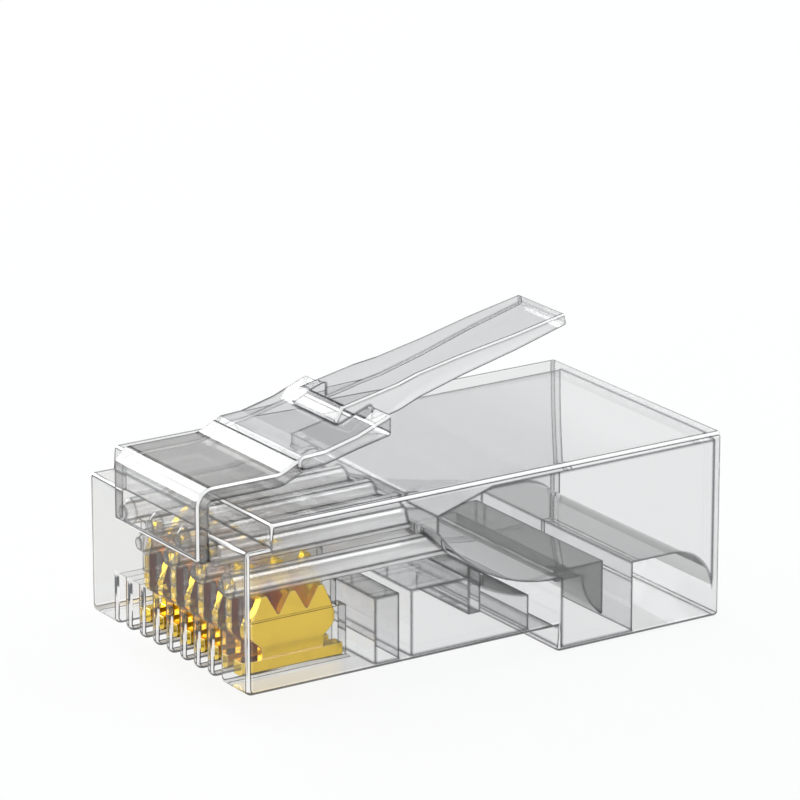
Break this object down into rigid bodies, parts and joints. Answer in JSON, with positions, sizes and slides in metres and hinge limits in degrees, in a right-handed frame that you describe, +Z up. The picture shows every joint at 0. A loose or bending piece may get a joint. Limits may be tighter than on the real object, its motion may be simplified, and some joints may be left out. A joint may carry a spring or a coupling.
{
  "type": "rj45 modular plug",
  "caption": "Clear modular network plug with a sprung latch, gold contacts in a slotted nose, staggered wire bores and an open cable space with clamps.",
  "frame": {"origin": "bottom centre of the bounding box, below the middle of the plug, at the level of its deep block", "axes": "+X across the plug towards contact 8, +Y from the nose to the cable end, +Z up to the latch side"},
  "size_m": [0.0116, 0.0224, 0.0123],
  "materials": {
    "clear_plastic": "clear moulded polycarbonate, polished",
    "gold_contact": "gold-plated copper alloy, bright"
  },
  "bodies": {
    "housing": {"housing": "clear_plastic"},
    "latch": {"latch": "clear_plastic"},
    "cable_clamp": {"cable_clamp": "clear_plastic"},
    "wire_clamp": {"wire_clamp": "clear_plastic"},
    "contact_1": {"contact_1": "gold_contact"},
    "contact_2": {"contact_2": "gold_contact"},
    "contact_3": {"contact_3": "gold_contact"},
    "contact_4": {"contact_4": "gold_contact"},
    "contact_5": {"contact_5": "gold_contact"},
    "contact_6": {"contact_6": "gold_contact"},
    "contact_7": {"contact_7": "gold_contact"},
    "contact_8": {"contact_8": "gold_contact"}
  },
  "joints": [
    {"name": "latch_hinge", "type": "hinge", "parent": "housing", "child": "latch", "pos_m": [0, -0.0064, 0.00882], "axis": [1, 0, 0], "range_deg": [-15, 60], "stiffness_Nm_per_rad": 0.08},
    {"name": "cable_clamp_hinge", "type": "hinge", "parent": "housing", "child": "cable_clamp", "pos_m": [0, 0.00426, 0.00263], "axis": [1, 0, 0], "range_deg": [0, 28]},
    {"name": "wire_clamp_press", "type": "slide", "parent": "housing", "child": "wire_clamp", "axis": [0, 0, 1], "range_m": [0, 0.00045]},
    {"name": "contact_1_press", "type": "slide", "parent": "housing", "child": "contact_1", "axis": [0, 0, 1], "range_m": [0, 0.0005]},
    {"name": "contact_2_press", "type": "slide", "parent": "housing", "child": "contact_2", "axis": [0, 0, 1], "range_m": [0, 0.0005]},
    {"name": "contact_3_press", "type": "slide", "parent": "housing", "child": "contact_3", "axis": [0, 0, 1], "range_m": [0, 0.0005]},
    {"name": "contact_4_press", "type": "slide", "parent": "housing", "child": "contact_4", "axis": [0, 0, 1], "range_m": [0, 0.0005]},
    {"name": "contact_5_press", "type": "slide", "parent": "housing", "child": "contact_5", "axis": [0, 0, 1], "range_m": [0, 0.0005]},
    {"name": "contact_6_press", "type": "slide", "parent": "housing", "child": "contact_6", "axis": [0, 0, 1], "range_m": [0, 0.0005]},
    {"name": "contact_7_press", "type": "slide", "parent": "housing", "child": "contact_7", "axis": [0, 0, 1], "range_m": [0, 0.0005]},
    {"name": "contact_8_press", "type": "slide", "parent": "housing", "child": "contact_8", "axis": [0, 0, 1], "range_m": [0, 0.0005]}
  ]
}
